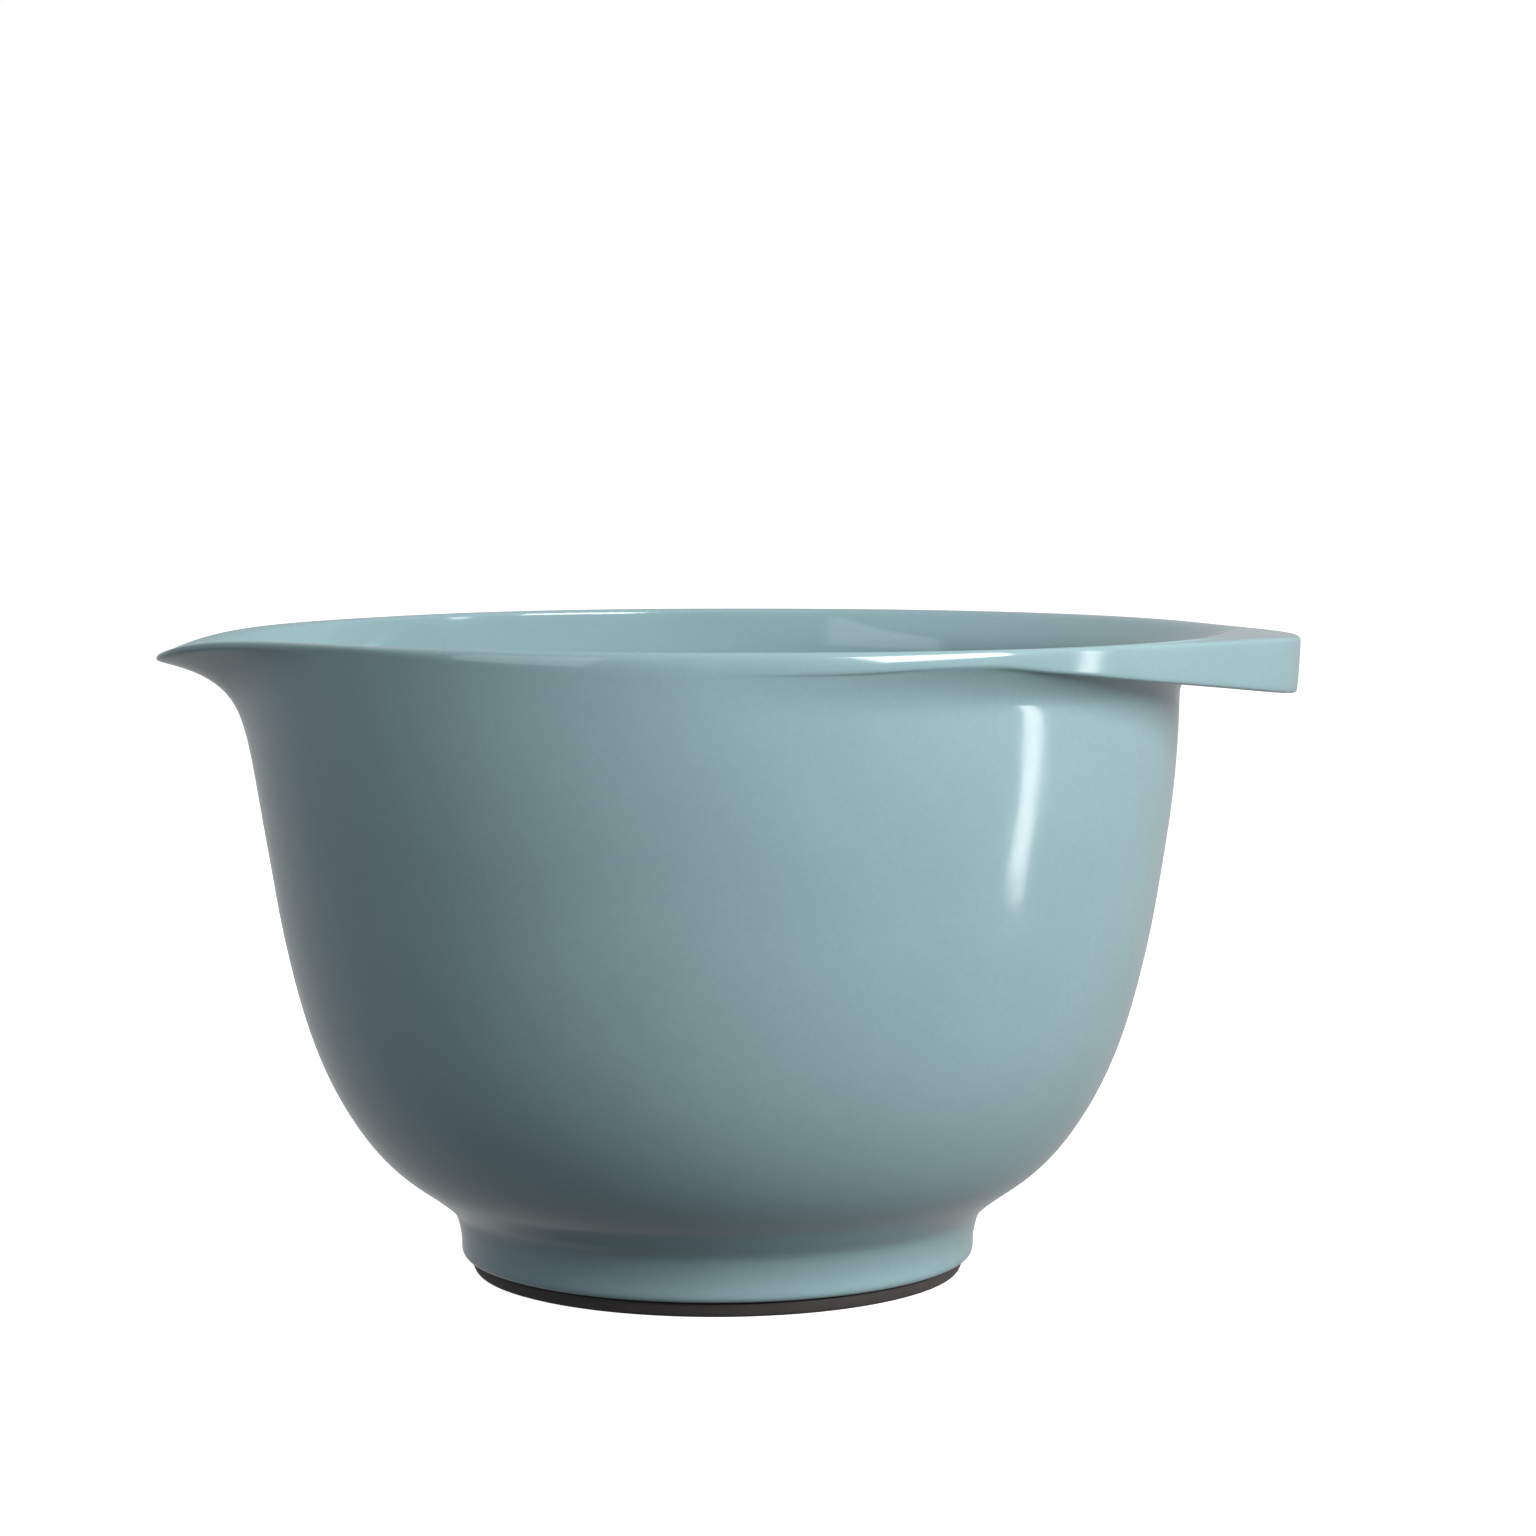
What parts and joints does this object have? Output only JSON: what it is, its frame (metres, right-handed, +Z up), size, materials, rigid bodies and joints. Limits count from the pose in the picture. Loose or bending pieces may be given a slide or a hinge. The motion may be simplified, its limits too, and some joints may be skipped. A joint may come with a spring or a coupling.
{
  "type": "mixing bowl",
  "caption": "Round moulded mixing bowl with a broad pouring spout, a turned-down grip opposite it and a pull-off rubber ring under its foot.",
  "frame": {"origin": "centre of the round body, on the surface that the bowl stands on", "axes": "+Z up along the body's axis, +X towards the grip, -X towards the spout; the XZ plane is the plane of symmetry"},
  "size_m": [0.2613, 0.211, 0.147],
  "materials": {
    "melamine": "gloss",
    "ring_rubber": "matte"
  },
  "bodies": {
    "bowl": {"bowl": "melamine"},
    "ring": {"non_slip_ring": "ring_rubber"}
  },
  "joints": [
    {"name": "ring_pull_off", "type": "slide", "parent": "bowl", "child": "ring", "axis": [0, 0, -1], "range_m": [0, 0.012]}
  ]
}
